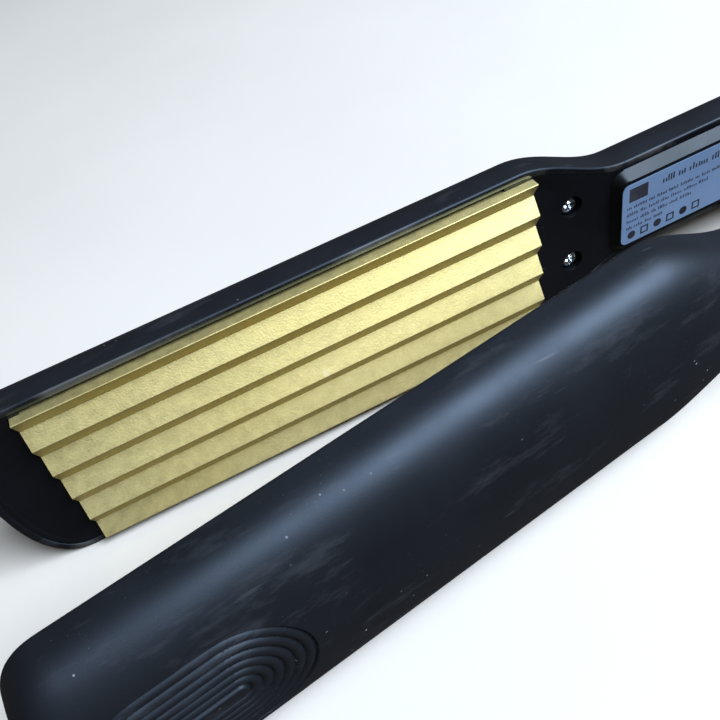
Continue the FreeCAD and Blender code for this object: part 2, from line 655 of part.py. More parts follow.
# ---------------------------------------------------------------- hinge
def hinge_pin():
    pin = disc(-PIN_HALF, PIN_HALF, PIN_RADIUS)
    return pin.makeChamfer(PIN_CHAMFER, [e for e in pin.Edges if len(e.Vertexes) == 1])


def hinge_cap():
    cover = disc(HINGE_HALF_WIDTH, HEAD_HALF_WIDTH, EAR_RADIUS)
    edge = [e for e in cover.Edges if e.BoundBox.ZMin > HEAD_HALF_WIDTH - 0.01]
    cover = cover.makeFillet(CAP_ROUNDING, edge)
    spigot = disc(HINGE_HALF_WIDTH - CAP_SPIGOT_DEPTH, HINGE_HALF_WIDTH, CAP_SPIGOT_RADIUS)
    return joined([cover, spigot])


def hinge_washer():
    return ring(BOSS_HALF, BOSS_HALF + WASHER_THICKNESS, WASHER_RADIUS, PIN_RADIUS + 0.1)


def opening_spring():
    """Torsion spring around the pin. Its half turn makes the legs leave on opposite sides of the pin."""
    helix = Part.makeHelix(SPRING_PITCH, SPRING_HEIGHT, SPRING_RADIUS)
    helix.translate(vec(0, 0, -SPRING_HEIGHT / 2))
    helix.rotate(ORIGIN, UP, -90)
    path = Part.Wire(helix.Edges)
    start = vec(0, -SPRING_RADIUS, -SPRING_HEIGHT / 2)
    profile = Part.Wire(Part.makeCircle(SPRING_WIRE, start, ALONG))
    coil = path.makePipeShell([profile], True, True)
    low_leg = rod_along(-SPRING_LEG, 0.0, -SPRING_RADIUS, -SPRING_HEIGHT / 2, SPRING_WIRE)
    high_leg = rod_along(-SPRING_LEG, 0.0, SPRING_RADIUS, SPRING_HEIGHT / 2, SPRING_WIRE)
    return joined([coil, low_leg, high_leg])


# ---------------------------------------------------------------- assembly
def place_cord(shape):
    """Open the cord arm: turn it from the closed frame about the hinge axis."""
    moved = shape.copy()
    moved.rotate(ORIGIN, UP, -BETA)
    return moved


def place_free(shape):
    """Open the free arm: the cord arm's mirror image, turned the other way."""
    moved = shape.mirror(ORIGIN, OUT)
    moved.rotate(ORIGIN, UP, BETA)
    return moved


def cord_arm_nodes():
    local = {
        "cord_arm_inner_cover": cord_cover(),
        "cord_arm_tip_cover": tip_cover(),
        "cord_arm_crimp_plate": crimp_plate(True),
        "cord_arm_heater": heater(),
        "cord_arm_insulation_sheet": insulation_sheet(),
        "cord_arm_heater_clamp": heater_clamp(),
        "cord_arm_plate_carriers": plate_carriers(),
        "cord_arm_thermal_fuse": thermal_fuse(),
        "cord_arm_thermostat": thermostat(),
        "cord_arm_leads": leads(LENS_X - 9),
        "cord_arm_heel_screws": cover_screws(HEEL_SCREW_X),
        "cord_arm_rear_screws": cover_screws(REAR_SCREW_X),
        "rating_label": rating_label(),
        "indicator_lens": indicator_lens(),
        "circuit_board": circuit_board(),
        "power_switch_body": power_switch_body(),
        "power_switch_slider": power_switch_slider(),
        "cord_clamp": cord_clamp(),
        "cord_clamp_screws": cord_clamp_screws(),
    }
    placed = {name: place_cord(shape) for name, shape in local.items()}
    placed["cord_arm_outer_shell"] = cord_casing()
    placed["cord_inlet_bush"] = cord_inlet_bush()
    return placed


def free_arm_nodes():
    local = {
        "free_arm_inner_cover": free_cover(),
        "free_arm_tip_cover": tip_cover(),
        "free_arm_crimp_plate": crimp_plate(False),
        "free_arm_heater": heater(),
        "free_arm_insulation_sheet": insulation_sheet(),
        "free_arm_heater_clamp": heater_clamp(),
        "free_arm_plate_carriers": plate_carriers(),
        "free_arm_thermal_fuse": thermal_fuse(),
        "free_arm_leads": leads(CAVITY_END_X - 6),
        "free_arm_heel_screws": cover_screws(HEEL_SCREW_X),
        "free_arm_rear_screws": cover_screws(REAR_SCREW_X),
    }
    placed = {name: place_free(shape) for name, shape in local.items()}
    placed["free_arm_outer_shell"] = free_casing()
    return placed


def hinge_nodes():
    return {
        "hinge_pin": hinge_pin(),
        "hinge_caps": on_both_sides(hinge_cap()),
        "hinge_washers": on_both_sides(hinge_washer()),
        "opening_spring": opening_spring(),
    }


def main():
    os.makedirs("parts", exist_ok=True)
    nodes = {}
    nodes.update(cord_arm_nodes())
    nodes.update(free_arm_nodes())
    nodes.update(hinge_nodes())
    whole = Part.makeCompound(list(nodes.values()))
    bounds = whole.optimalBoundingBox(False, False)
    shift = vec(-(bounds.XMin + bounds.XMax) / 2, -(bounds.YMin + bounds.YMax) / 2, -bounds.ZMin)
    for name, shape in nodes.items():
        moved = shape.copy()
        moved.translate(shift)
        moved.exportStep("parts/" + name + ".step")
        solids = len(moved.Solids)
        print(name, "solids", solids, "valid", moved.isValid(), "volume", round(moved.Volume, 1))
    print("size", [round(v, 3) for v in (bounds.XLength, bounds.YLength, bounds.ZLength)])
    print("hinge axis at", [round(v, 4) for v in (shift.x, shift.y, shift.z)])


main()
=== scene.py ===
import json
import math
import random

import bmesh
import bpy
import numpy as np
from mathutils import Matrix, Vector


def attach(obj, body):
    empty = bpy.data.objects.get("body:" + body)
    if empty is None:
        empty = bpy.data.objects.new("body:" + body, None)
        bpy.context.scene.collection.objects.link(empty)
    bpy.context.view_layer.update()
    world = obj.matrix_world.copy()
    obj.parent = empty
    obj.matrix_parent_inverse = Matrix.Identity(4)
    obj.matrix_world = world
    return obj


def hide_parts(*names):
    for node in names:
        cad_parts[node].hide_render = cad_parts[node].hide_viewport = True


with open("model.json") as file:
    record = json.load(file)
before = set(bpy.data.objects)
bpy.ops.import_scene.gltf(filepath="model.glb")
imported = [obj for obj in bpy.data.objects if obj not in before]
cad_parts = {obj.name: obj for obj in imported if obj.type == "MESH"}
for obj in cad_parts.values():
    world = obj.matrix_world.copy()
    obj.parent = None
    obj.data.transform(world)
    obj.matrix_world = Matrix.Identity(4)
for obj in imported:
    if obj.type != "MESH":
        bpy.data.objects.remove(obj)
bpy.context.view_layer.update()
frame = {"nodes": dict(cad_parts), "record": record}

MM = 0.001
JOINTS = {joint["name"]: joint for joint in frame["record"]["behaviour"]["joints"]}
HINGE = Vector(JOINTS["arm_hinge"]["pos_m"])
OPEN_ANGLE = math.radians(JOINTS["arm_hinge"]["range_deg"][1])

# Driving dimensions of an arm, in millimetres, in its own closed frame:
# x from the hinge axis (negative towards the tip), y outwards from where the arms meet, z along the pin.
HINGE_TO_PLATE_TIP = 264.6
PLATE_LENGTH = 100.0
RIDGE_PITCH = 7.06
RIDGE_DEPTH = 2.27
RIDGE_COUNT = 5
CLOSED_GAP = 0.5
HEAD_HALF = 19.85
HANDLE_HALF = 11.4
HINGE_HALF = 16.5
CROWN_DEPTH = 12.64
TIP_OVERHANG = 12.35
TIP_LENGTH = 10.4
TIP_POWER = 2.4
NOSE_LENGTH = 6.0
NOSE_POWER = 2.5
CROWN_POWER = 2.5
SIDE_WALL = 2.5
WALL = 1.45
FIT = 0.04
RIM_DEPTH = 2.0
HANDLE_RIM_DEPTH = 2.9
COVER_DEPTH = 2.6
COVER_THICKNESS = 1.8
PAD_DEPTH = 0.9

MID = (RIDGE_DEPTH - CLOSED_GAP) / 2
RIM_Y = RIM_DEPTH - MID
HANDLE_RIM_Y = HANDLE_RIM_DEPTH - MID
COVER_Y = COVER_DEPTH - MID
PAD_Y = PAD_DEPTH - MID
BACK_Y = COVER_Y + COVER_THICKNESS
PLATE_TIP = -HINGE_TO_PLATE_TIP
PLATE_HEEL = PLATE_TIP + PLATE_LENGTH
TIP = PLATE_TIP - TIP_OVERHANG
PLATE_HALF = RIDGE_PITCH * RIDGE_COUNT / 2
SHOULDER = (PLATE_TIP + 97.0, PLATE_TIP + 121.5)
FLARE = (-75.0, -20.0)
CAVITY_END = -16.2
COVER_START = PLATE_HEEL + 0.3
COVER_END = CAVITY_END - FIT
KNUCKLE_DEPTH = 12.7
KNUCKLE_RADIUS = RIM_Y + KNUCKLE_DEPTH
BOSS_HALF = 11.5
EAR_INNER = 12.1
EAR_RADIUS = 10.5
SWING_GAP = 0.5
NECK_START = 2.0
NECK_END = 17.5
NECK_RADIUS = 6.4
NECK_BORE_START = 9.0
NECK_BORE_RADIUS = 4.6
CUT_REACH = 30.0
HEEL_SCREW_X = PLATE_TIP + 108.5
REAR_SCREW_X = -22.0
SCREW_HALF_SPACING = 6.85
WELL_RADIUS = 2.35
WELL_DEPTH = 2.4
WELL_WALL = 0.9
WELL_FLOOR = 1.2
WELL_BACK = COVER_Y + WELL_DEPTH + WELL_FLOOR
DISH_MIDDLE = PLATE_TIP + 109.5
DISH_SPREAD = 8.0
DISH_WIDEST = 4.0
DISH_NARROWEST = 1.1
DISH_FALL = 1.5
PAD_START = PLATE_TIP + 117.5
PAD_LENGTH = 58.0
PAD_HALF = 9.75
PAD_BEVEL = 1.65
PAD_DROP = 2.05
PAD_CORNER = 3.2
LABEL_MARGIN = 1.4
LABEL_X = PAD_START + LABEL_MARGIN
LABEL_LENGTH = 50.0
LABEL_HALF = 7.25
LABEL_CORNER = 1.4
LABEL_THICKNESS = 0.12
LABEL_Y = PAD_Y - LABEL_THICKNESS
INK = 0.015
GRIP_CENTRES = (PLATE_TIP + 3.0, PLATE_TIP + 13.9)
GRIP_RADIUS = 11.8
GRIP_PITCH = 1.7
GRIP_RINGS = 7
GRIP_DEPTH = 0.6
SLOT_LENGTH = 11.6
SLOT_HALF_WIDTH = 2.5
SLOT_MARGIN = 0.5
OPENING_Y = (-6.0, 8.0)
LENS_RADIUS = 1.6
PLATE_BACK = 2.4
PLATE_ROWS = 41
PLATE_END_BEVEL = 0.15
PLATE_END_GAP = 0.05
CREST_RADIUS = 0.2
TIP_ROWS = 34
TIP_GAP = 0.3


# ------------------------------------------------------------------ shapes of an arm
def smooth(value, start, end):
    t = np.clip((np.asarray(value, float) - start) / (end - start), 0.0, 1.0)
    return t * t * (3 - 2 * t)


def straight_half_width(x):
    """Half the casing's width, without the rounding at the tip."""
    width = HEAD_HALF + (HANDLE_HALF - HEAD_HALF) * smooth(x, *SHOULDER)
    return width + (HINGE_HALF - HANDLE_HALF) * smooth(x, *FLARE)


def rim_y(x):
    return RIM_Y + (HANDLE_RIM_Y - RIM_Y) * smooth(x, *SHOULDER)


def tip_factor(x, start, length):
    e = np.clip((length - (np.asarray(x, float) - start)) / length, 0.0, 1.0)
    return (1 - e ** TIP_POWER) ** (1 / TIP_POWER)


def crown(x):
    """Depth of the casing behind the head's rim."""
    nose = np.clip((NOSE_LENGTH - (x - TIP)) / NOSE_LENGTH, 0.0, 1.0)
    return CROWN_DEPTH * (1 - nose ** NOSE_POWER) ** (1 / NOSE_POWER)


def tip_stations(start, length, count):
    """x from the tip's end back to where the outline runs straight, evenly spaced round the curve."""
    phi = np.linspace(0.012, math.pi / 2, count)
    return start + length * (1 - np.cos(phi) ** (2 / TIP_POWER)), np.sin(phi) ** (2 / TIP_POWER)


def body_stations(spacing_in_grip):
    grip = np.arange(TIP + TIP_LENGTH + 0.2, GRIP_CENTRES[1] + GRIP_RADIUS + 1, spacing_in_grip)
    head = np.linspace(grip[-1] + 2, PLATE_TIP + 94, 22)
    shoulder = np.linspace(PLATE_TIP + 95, PLATE_TIP + 124, 50)
    handle = np.linspace(PLATE_TIP + 128, -78.0, 16)
    flare = np.linspace(-75.0, CAVITY_END, 34)
    end = np.linspace(CAVITY_END + 1.4, 0.0, 10)
    return np.concatenate([grip, head, shoulder, handle, flare, end])


def crown_curve(half_width, depth, rim, base_y, count, grip_density=1.0):
    """(y, z) along the casing's section from one rim over the crown to the other."""
    wall_top = rim + min(SIDE_WALL, 0.3 * depth)
    rise = RIM_Y + depth - wall_top
    t = np.linspace(0, math.pi, 1600)
    z = half_width * np.sign(np.cos(t)) * np.abs(np.cos(t)) ** (2 / CROWN_POWER)
    y = wall_top + rise * np.abs(np.sin(t)) ** (2 / CROWN_POWER)
    y = np.concatenate([[base_y], y, [base_y]])
    z = np.concatenate([[half_width], z, [-half_width]])
    step = np.hypot(np.diff(y), np.diff(z))
    middle = np.abs(z[1:] + z[:-1]) / 2
    step = step * np.where(middle < GRIP_RADIUS + 0.6, grip_density, 1.0)
    run = np.concatenate([[0], np.cumsum(step)])
    want = np.linspace(0, run[-1], count)
    return np.interp(want, run, y), np.interp(want, run, z)


def grip_distance(x, z):
    x0, x1 = GRIP_CENTRES
    along = np.clip(x, x0, x1)
    return np.hypot(x - along, z)


def grip_relief(x, z):
    """How far the grip's skin lies below the crown: narrow grooves between rounded ridges."""
    r = grip_distance(x, z)
    phase = (GRIP_RADIUS - r) / GRIP_PITCH
    ridge = np.abs(np.sin(math.pi * phase)) ** 0.6
    inside = GRIP_DEPTH * (1 - ridge)
    edge = GRIP_DEPTH * (1 - smooth(r, GRIP_RADIUS, GRIP_RADIUS + 0.3))
    core = GRIP_RADIUS - (GRIP_RINGS - 1) * GRIP_PITCH
    inside = np.where(r < core, GRIP_DEPTH * smooth(r, core - 0.6, core), inside)
    return np.where(r < GRIP_RADIUS, inside, edge)


# ------------------------------------------------------------------ mesh helpers
def arm_matrix(arm):
    """From an arm's own frame in millimetres to the shared frame in metres."""
    turn = -OPEN_ANGLE / 2 if arm == "cord_arm" else OPEN_ANGLE / 2
    flip = Matrix.Identity(4) if arm == "cord_arm" else Matrix.Diagonal((1, -1, 1, 1))
    return Matrix.Translation(HINGE) @ Matrix.Rotation(turn, 4, "Z") @ flip @ Matrix.Scale(MM, 4)


HINGE_MATRIX = Matrix.Translation(HINGE) @ Matrix.Scale(MM, 4)


def new_object(name, verts, faces, matrix, sharp_angle=35):
    mesh = bpy.data.meshes.new(name)
    mesh.from_pydata([tuple(v) for v in verts], [], [tuple(f) for f in faces])
    mesh.transform(matrix)
    piece = bpy.data.objects.new(name, mesh)
    bpy.context.scene.collection.objects.link(piece)
    tidy_mesh(piece, sharp_angle)
    return piece


def tidy_mesh(piece, sharp_angle=35):
    """Merges doubles, turns the faces outwards and marks the edges that stay crisp."""
    bm = bmesh.new()
    bm.from_mesh(piece.data)
    bmesh.ops.remove_doubles(bm, verts=bm.verts, dist=2e-6)
    bmesh.ops.dissolve_degenerate(bm, edges=bm.edges, dist=1e-6)
    bmesh.ops.recalc_face_normals(bm, faces=bm.faces)
    limit = math.radians(sharp_angle)
    for face in bm.faces:
        face.smooth = True
    for edge in bm.edges:
        edge.smooth = len(edge.link_faces) == 2 and edge.calc_face_angle(0) < limit
    bm.to_mesh(piece.data)
    bm.free()


def boolean(piece, cutter, operation):
    modifier = piece.modifiers.new("cut", "BOOLEAN")
    modifier.operation = operation
    modifier.solver = "EXACT"
    modifier.object = cutter
    depsgraph = bpy.context.evaluated_depsgraph_get()
    result = bpy.data.meshes.new_from_object(piece.evaluated_get(depsgraph))
    piece.modifiers.clear()
    piece.data = result
    bpy.data.objects.remove(cutter)


def grid_faces(rows, cols, start=0):
    faces = []
    for i in range(rows - 1):
        a = start + i * cols
        for j in range(cols - 1):
            faces.append((a + j, a + j + 1, a + cols + j + 1, a + cols + j))
    return faces


def cylinder(name, z0, z1, radius, matrix, bevel=0.0, segments=96):
    """A disc along z, its rims rounded by bevel, given in millimetres."""
    bm = bmesh.new()
    bmesh.ops.create_cone(bm, cap_ends=True, segments=segments, radius1=radius, radius2=radius,
                          depth=z1 - z0)
    bmesh.ops.translate(bm, verts=bm.verts, vec=(0, 0, (z0 + z1) / 2))
    if bevel:
        rims = [e for e in bm.edges if abs(e.verts[0].co.z - e.verts[1].co.z) < 1e-6]
        bmesh.ops.bevel(bm, geom=rims, offset=bevel, segments=4, profile=0.5, affect="EDGES")
    mesh = bpy.data.meshes.new(name)
    bm.to_mesh(mesh)
    bm.free()
    mesh.transform(matrix)
    piece = bpy.data.objects.new(name, mesh)
    bpy.context.scene.collection.objects.link(piece)
    return piece


ALONG_X = Matrix.Rotation(math.radians(90), 4, "Y")
ALONG_Y = Matrix.Rotation(math.radians(-90), 4, "X")


# ------------------------------------------------------------------ casings
INNER_COLUMNS = 44
RIM_SHARES = (0.04, 0.14, 0.30, 0.86, 0.96)
RIM_DROPS = (0.20, 0.07, 0.0, 0.0, 0.08)


def outer_rows(grip, columns):
    """Rows of points over the casing's outside, from the tip to the hinge."""
    tip_x, tip_w = tip_stations(TIP, TIP_LENGTH, TIP_ROWS)
    body_x = body_stations(0.16 if grip else 1.2)
    xs = np.concatenate([tip_x, body_x])
    widths = np.concatenate([tip_w * HEAD_HALF, straight_half_width(body_x)])
    rows = []
    for x, w in zip(xs, widths):
        rim = float(rim_y(x))
        y, z = crown_curve(w, float(crown(x)), rim, rim + min(0.4, 0.2 * w), columns, 3.2 if grip else 1.0)
        if grip:
            y = y - grip_relief(x, z) * (y > rim + 4.5)
        rows.append(np.stack([np.full_like(y, x), y, z], axis=-1))
    return rows


def inner_rows_like(outer):
    """Rows of points over the cavity's wall, one for each outer row up to the cavity's end."""
    tip_x, tip_w = tip_stations(TIP + WALL, TIP_LENGTH - WALL, TIP_ROWS)
    body_x = np.array([row[0][0] for row in outer[TIP_ROWS:] if row[0][0] < CAVITY_END + 0.01])
    xs = np.concatenate([tip_x, body_x])
    widths = np.concatenate([tip_w * (HEAD_HALF - WALL), straight_half_width(body_x) - WALL])
    rows = []
    for x, w in zip(xs, widths):
        depth = max(0.4, float(crown(x - 0.5 * WALL)) - WALL)
        rim = float(rim_y(x))
        y, z = crown_curve(max(w, 0.3), depth, rim, rim + 0.2, INNER_COLUMNS)
        rows.append(np.stack([np.full_like(y, x), y, z], axis=-1))
    return rows


def rim_row(outer_point, inner_point):
    """Points across the rim: rounded at its outer edge, flat, slightly rounded at its inner edge."""
    shares = np.array(RIM_SHARES)[:, None]
    points = outer_point + (inner_point - outer_point) * shares
    size = min(1.0, abs(outer_point[2]) / 3)
    points[:, 1] = rim_y(points[:, 0]) + np.array(RIM_DROPS) * size
    return points


def casing_mesh(name, arm, grip):
    """The casing as one closed skin: outside, cavity and the rims that join them."""
    columns = 270 if grip else 120
    outer = outer_rows(grip, columns)
    inner = inner_rows_like(outer)
    last = len(inner) - 1
    inner_start = len(outer) * columns
    rim_start = inner_start + len(inner) * INNER_COLUMNS
    n = len(RIM_SHARES)
    ends = ((0, 0), (columns - 1, INNER_COLUMNS - 1))
    rims = [[rim_row(outer[k][a], inner[k][b]) for k in range(last + 1)] for a, b in ends]

    def chain(side, k):
        first = rim_start + (side * (last + 1) + k) * n
        a, b = ends[side]
        return [k * columns + a] + list(range(first, first + n)) + [inner_start + k * INNER_COLUMNS + b]

    faces = grid_faces(len(outer), columns)
    faces += [tuple(reversed(f)) for f in grid_faces(len(inner), INNER_COLUMNS, inner_start)]
    for side in (0, 1):
        for k in range(last):
            here = chain(side, k)
            after = chain(side, k + 1)
            faces += [(here[i], here[i + 1], after[i + 1], after[i]) for i in range(n + 1)]
    faces += casing_ends(chain, len(outer), columns, last, inner_start)
    verts = np.concatenate(outer + inner + rims[0] + rims[1])
    return new_object(name, verts, faces, arm_matrix(arm))


def casing_ends(chain, rows, columns, last, inner_start):
    """The faces that close the tip, the cavity's end and the solid end at the hinge."""
    def closing(k):
        return (k * columns, k * columns + columns - 1)

    low, high = closing(last + 1)
    faces = [tuple(chain(0, last) + list(reversed(chain(1, last))) + [high, low])]
    for k in range(last + 1, rows - 1):
        faces.append(closing(k) + tuple(reversed(closing(k + 1))))
    faces.append(tuple(range((rows - 1) * columns, rows * columns)))
    cavity_end = inner_start + last * INNER_COLUMNS
    faces.append(tuple(range(cavity_end, cavity_end + INNER_COLUMNS)))
    faces.append(tuple(range(columns)))
    faces.append(tuple(range(inner_start, inner_start + INNER_COLUMNS)))
    faces.append(tuple(chain(0, 0) + list(reversed(chain(1, 0)))))
    return faces


def cord_arm_shell():
    shell = casing_mesh("cord_arm_shell", "cord_arm", False)
    swing = EAR_RADIUS + SWING_GAP
    boolean(shell, cylinder("swing_up", BOSS_HALF, CUT_REACH, swing, HINGE_MATRIX), "DIFFERENCE")
    boolean(shell, cylinder("swing_down", -CUT_REACH, -BOSS_HALF, swing, HINGE_MATRIX), "DIFFERENCE")
    boss = cylinder("boss", -BOSS_HALF, BOSS_HALF, KNUCKLE_RADIUS, HINGE_MATRIX, 0.5, 128)
    boolean(shell, boss, "UNION")
    along_neck = HINGE_MATRIX @ ALONG_X
    boolean(shell, cylinder("neck", NECK_START, NECK_END, NECK_RADIUS, along_neck, 0.4), "UNION")
    bore = cylinder("neck_bore", NECK_BORE_START, CUT_REACH, NECK_BORE_RADIUS, along_neck)
    boolean(shell, bore, "DIFFERENCE")
    tidy_mesh(shell)
    return shell


def free_arm_shell():
    shell = casing_mesh("free_arm_shell", "free_arm", True)
    for name, z0, z1 in (("ear_up", EAR_INNER, HINGE_HALF), ("ear_down", -HINGE_HALF, -EAR_INNER)):
        boolean(shell, cylinder(name, z0, z1, EAR_RADIUS, HINGE_MATRIX, 0.3), "UNION")
    swing = KNUCKLE_RADIUS + SWING_GAP
    room = cylinder("knuckle_room", -EAR_INNER, EAR_INNER, swing, HINGE_MATRIX, 0.0, 128)
    boolean(shell, room, "DIFFERENCE")
    tidy_mesh(shell)
    return shell


# ------------------------------------------------------------------ covers
def outline_distance(x, z, start, end):
    """Distance from a point inside a cover to the casing's inner wall."""
    tip_x, tip_w = tip_stations(TIP + WALL, TIP_LENGTH - WALL, 60)
    body_x = np.linspace(TIP + TIP_LENGTH + 0.2, end + 10, 700)
    if start > TIP + TIP_LENGTH:
        edge_x, edge_z = body_x, straight_half_width(body_x) - WALL
    else:
        edge_x = np.concatenate([tip_x, body_x])
        edge_z = np.concatenate([tip_w * (HEAD_HALF - WALL), straight_half_width(body_x) - WALL])
    result = np.empty_like(x)
    for i in range(x.shape[0]):
        near = np.abs(edge_x - x[i, 0]) < 25
        gap = np.hypot(x[i][:, None] - edge_x[near][None], np.abs(z[i])[:, None] - edge_z[near][None])
        result[i] = gap.min(axis=1)
    return result


def relief_plate(name, arm, xs, half_widths, columns, height, back_y):
    """A cover as a closed solid: a relief on its face and a flat back."""
    share = np.linspace(1, -1, columns)
    x = np.repeat(np.asarray(xs)[:, None], columns, axis=1)
    z = np.asarray(half_widths)[:, None] * share[None]
    y = height(x, z)
    rows = len(xs)
    verts = np.stack([x, y, z], axis=-1).reshape(-1, 3).tolist()
    verts += np.stack([x, np.full_like(x, back_y), z], axis=-1).reshape(-1, 3).tolist()
    n = rows * columns
    faces = grid_faces(rows, columns)
    ring = list(range(columns)) + [i * columns + columns - 1 for i in range(1, rows)]
    ring += list(range(n - 2, n - columns - 1, -1)) + [i * columns for i in range(rows - 2, 0, -1)]
    faces += [(ring[i], ring[i - 1], n + ring[i - 1], n + ring[i]) for i in range(len(ring))]
    faces.append(tuple(n + i for i in ring))
    return new_object(name, verts, faces, arm_matrix(arm), 40)


def rounded_rect_distance(x, z, centre_x, half_x, half_z, radius):
    qx = np.abs(x - centre_x) - (half_x - radius)
    qz = np.abs(z) - (half_z - radius)
    outside = np.hypot(np.maximum(qx, 0), np.maximum(qz, 0))
    return outside + np.minimum(np.maximum(qx, qz), 0) - radius


def dish_width(x):
    """Width of the slope between the rim and the cover's floor; it is widest at the screws."""
    from_middle = (x - DISH_MIDDLE) / DISH_SPREAD
    return np.clip(DISH_WIDEST - DISH_FALL * from_middle ** 2, DISH_NARROWEST, DISH_WIDEST)


def cover_height(pad):
    def height(x, z):
        edge = outline_distance(x, z, COVER_START, COVER_END)
        rim = rim_y(x) + 0.03
        floor_y = np.maximum(COVER_Y + 0.15, rim + 0.05)
        share = np.clip(edge / dish_width(x), 0.0, 1.0)
        floor = rim + (floor_y - rim) * share ** 0.9
        if not pad:
            return floor
        away = rounded_rect_distance(x, z, PAD_START + PAD_LENGTH / 2, PAD_LENGTH / 2, PAD_HALF, PAD_CORNER)
        slope = np.clip((away + PAD_BEVEL) / PAD_BEVEL, 0, 1)
        top = PAD_Y + PAD_DROP * slope + np.where(away > 0, 30 * away, 0)
        return np.minimum(floor, top)
    return height


def cover_stations():
    pad_end = PAD_START + PAD_LENGTH
    parts = [np.linspace(COVER_START, PAD_START - 1, 60), np.linspace(PAD_START - 0.8, PAD_START + 4, 26)]
    parts += [np.linspace(PAD_START + 5, pad_end - 5, 30), np.linspace(pad_end - 4, pad_end + 0.8, 26)]
    parts += [np.linspace(pad_end + 2, COVER_END, 60)]
    return np.concatenate(parts)


def inner_cover(arm):
    pad = arm == "cord_arm"
    xs = cover_stations()
    half = straight_half_width(xs) - WALL - FIT
    cover = relief_plate(arm + "_cover", arm, xs, half, 110, cover_height(pad), BACK_Y)
    matrix = arm_matrix(arm)
    for x in (HEEL_SCREW_X, REAR_SCREW_X):
        for z in (SCREW_HALF_SPACING, -SCREW_HALF_SPACING):
            sink_well(cover, matrix @ Matrix.Translation((x, 0, z)) @ ALONG_Y)
    if pad:
        cut_switch_openings(cover, matrix)
    tidy_mesh(cover, 40)
    return cover


def sink_well(cover, place):
    """A deep round well for a screw's head, as a cup on the cover's back."""
    cup = cylinder("cup", BACK_Y - 0.8, WELL_BACK, WELL_RADIUS + WELL_WALL, place, 0.0, 64)
    boolean(cover, cup, "UNION")
    well = cylinder("well", COVER_Y - 3, COVER_Y + WELL_DEPTH, WELL_RADIUS, place, 0.0, 64)
    boolean(cover, well, "DIFFERENCE")


def cut_switch_openings(cover, matrix):
    knob_low = local_box("power_switch_slider", matrix)[0]
    near, far = OPENING_Y
    slot_low = Vector((knob_low.x + SLOT_MARGIN, near, -SLOT_HALF_WIDTH))
    slot_high = Vector((knob_low.x + SLOT_MARGIN + SLOT_LENGTH, far, SLOT_HALF_WIDTH))
    boolean(cover, block("slot", slot_low, slot_high, matrix), "DIFFERENCE")
    lens_low, lens_high = local_box("indicator_lens", matrix)
    lens = (lens_low + lens_high) / 2
    place = matrix @ Matrix.Translation((lens.x, 0, lens.z)) @ ALONG_Y
    boolean(cover, cylinder("lens_hole", near, far, LENS_RADIUS, place, 0.0, 48), "DIFFERENCE")


def local_box(node, matrix):
    """A node's box in an arm's own frame, from its vertices."""
    back = matrix.inverted()
    points = [back @ v.co for v in frame["nodes"][node].data.vertices]
    low = Vector([min(p[i] for p in points) for i in range(3)])
    high = Vector([max(p[i] for p in points) for i in range(3)])
    return low, high


def block(name, low, high, matrix):
    """A rectangular cutter between two corners."""
    bm = bmesh.new()
    bmesh.ops.create_cube(bm, size=1.0)
    size = high - low
    bmesh.ops.scale(bm, verts=bm.verts, vec=size)
    bmesh.ops.translate(bm, verts=bm.verts, vec=(low + high) / 2)
    mesh = bpy.data.meshes.new(name)
    bm.to_mesh(mesh)
    bm.free()
    mesh.transform(matrix)
    piece = bpy.data.objects.new(name, mesh)
    bpy.context.scene.collection.objects.link(piece)
    return piece


def tip_cover(arm):
    start = TIP + WALL
    length = TIP_LENGTH - WALL
    tip_x, tip_w = tip_stations(start, length, 50)
    keep = tip_x < PLATE_TIP - TIP_GAP
    shrink = (HEAD_HALF - WALL - FIT) / HEAD_HALF
    end_x = PLATE_TIP - TIP_GAP
    end_w = float(tip_factor(end_x, start, length))
    xs = np.concatenate([tip_x[keep] + FIT, [end_x]])
    half = np.concatenate([tip_w[keep], [end_w]]) * HEAD_HALF * shrink

    def height(x, z):
        edge = outline_distance(x, z, TIP, PLATE_TIP)
        return RIM_Y + 0.2 + 0.22 * smooth(edge, 0.9, 1.3) + 0.3 * smooth(edge, 1.3, 6.0)
    return relief_plate(arm + "_tip", arm, xs, half, 100, height, BACK_Y)


def cover_fingers(name, arm, x0, x1):
    """Slim straight fingers beside the plate at one end of it."""
    verts = []
    faces = []
    for side in (1, -1):
        z0 = side * (PLATE_HALF + 0.1)
        z1 = side * (HEAD_HALF - WALL - 0.1)
        n = len(verts)
        low = RIM_Y + 0.15
        for z in (z0, z1):
            verts += [(x0, low, z), (x1, low, z), (x1, BACK_Y, z), (x0, BACK_Y, z)]
        faces += [tuple(n + i for i in f) for f in ((0, 1, 2, 3), (7, 6, 5, 4), (0, 4, 5, 1), (1, 5, 6, 2),
                                                   (2, 6, 7, 3), (3, 7, 4, 0))]
    return new_object(name, verts, faces, arm_matrix(arm))


# ------------------------------------------------------------------ plates
def ridge_profile(first_is_crest):
    """(z, y) across a plate's face, with slightly rounded ridge tops and valleys."""
    corners = []
    back = RIDGE_DEPTH + PLATE_BACK - MID
    for i in range(2 * RIDGE_COUNT + 1):
        crest = (i % 2 == 0) == first_is_crest
        corners.append(np.array([-PLATE_HALF + i * RIDGE_PITCH / 2, -MID if crest else RIDGE_DEPTH - MID]))
    outline = [np.array([-PLATE_HALF, back])] + corners + [np.array([PLATE_HALF, back])]
    points = [outline[0]]
    for before, corner, after in zip(outline, outline[1:], outline[2:]):
        u = (before - corner) / np.linalg.norm(before - corner)
        v = (after - corner) / np.linalg.norm(after - corner)
        half_angle = math.acos(float(np.clip(np.dot(u, v), -1, 1))) / 2
        reach = CREST_RADIUS / math.tan(half_angle)
        a = corner + u * reach
        b = corner + v * reach
        for t in np.linspace(0, 1, 6):
            points.append((1 - t) ** 2 * a + 2 * t * (1 - t) * corner + t * t * b)
    points.append(outline[-1])
    return points


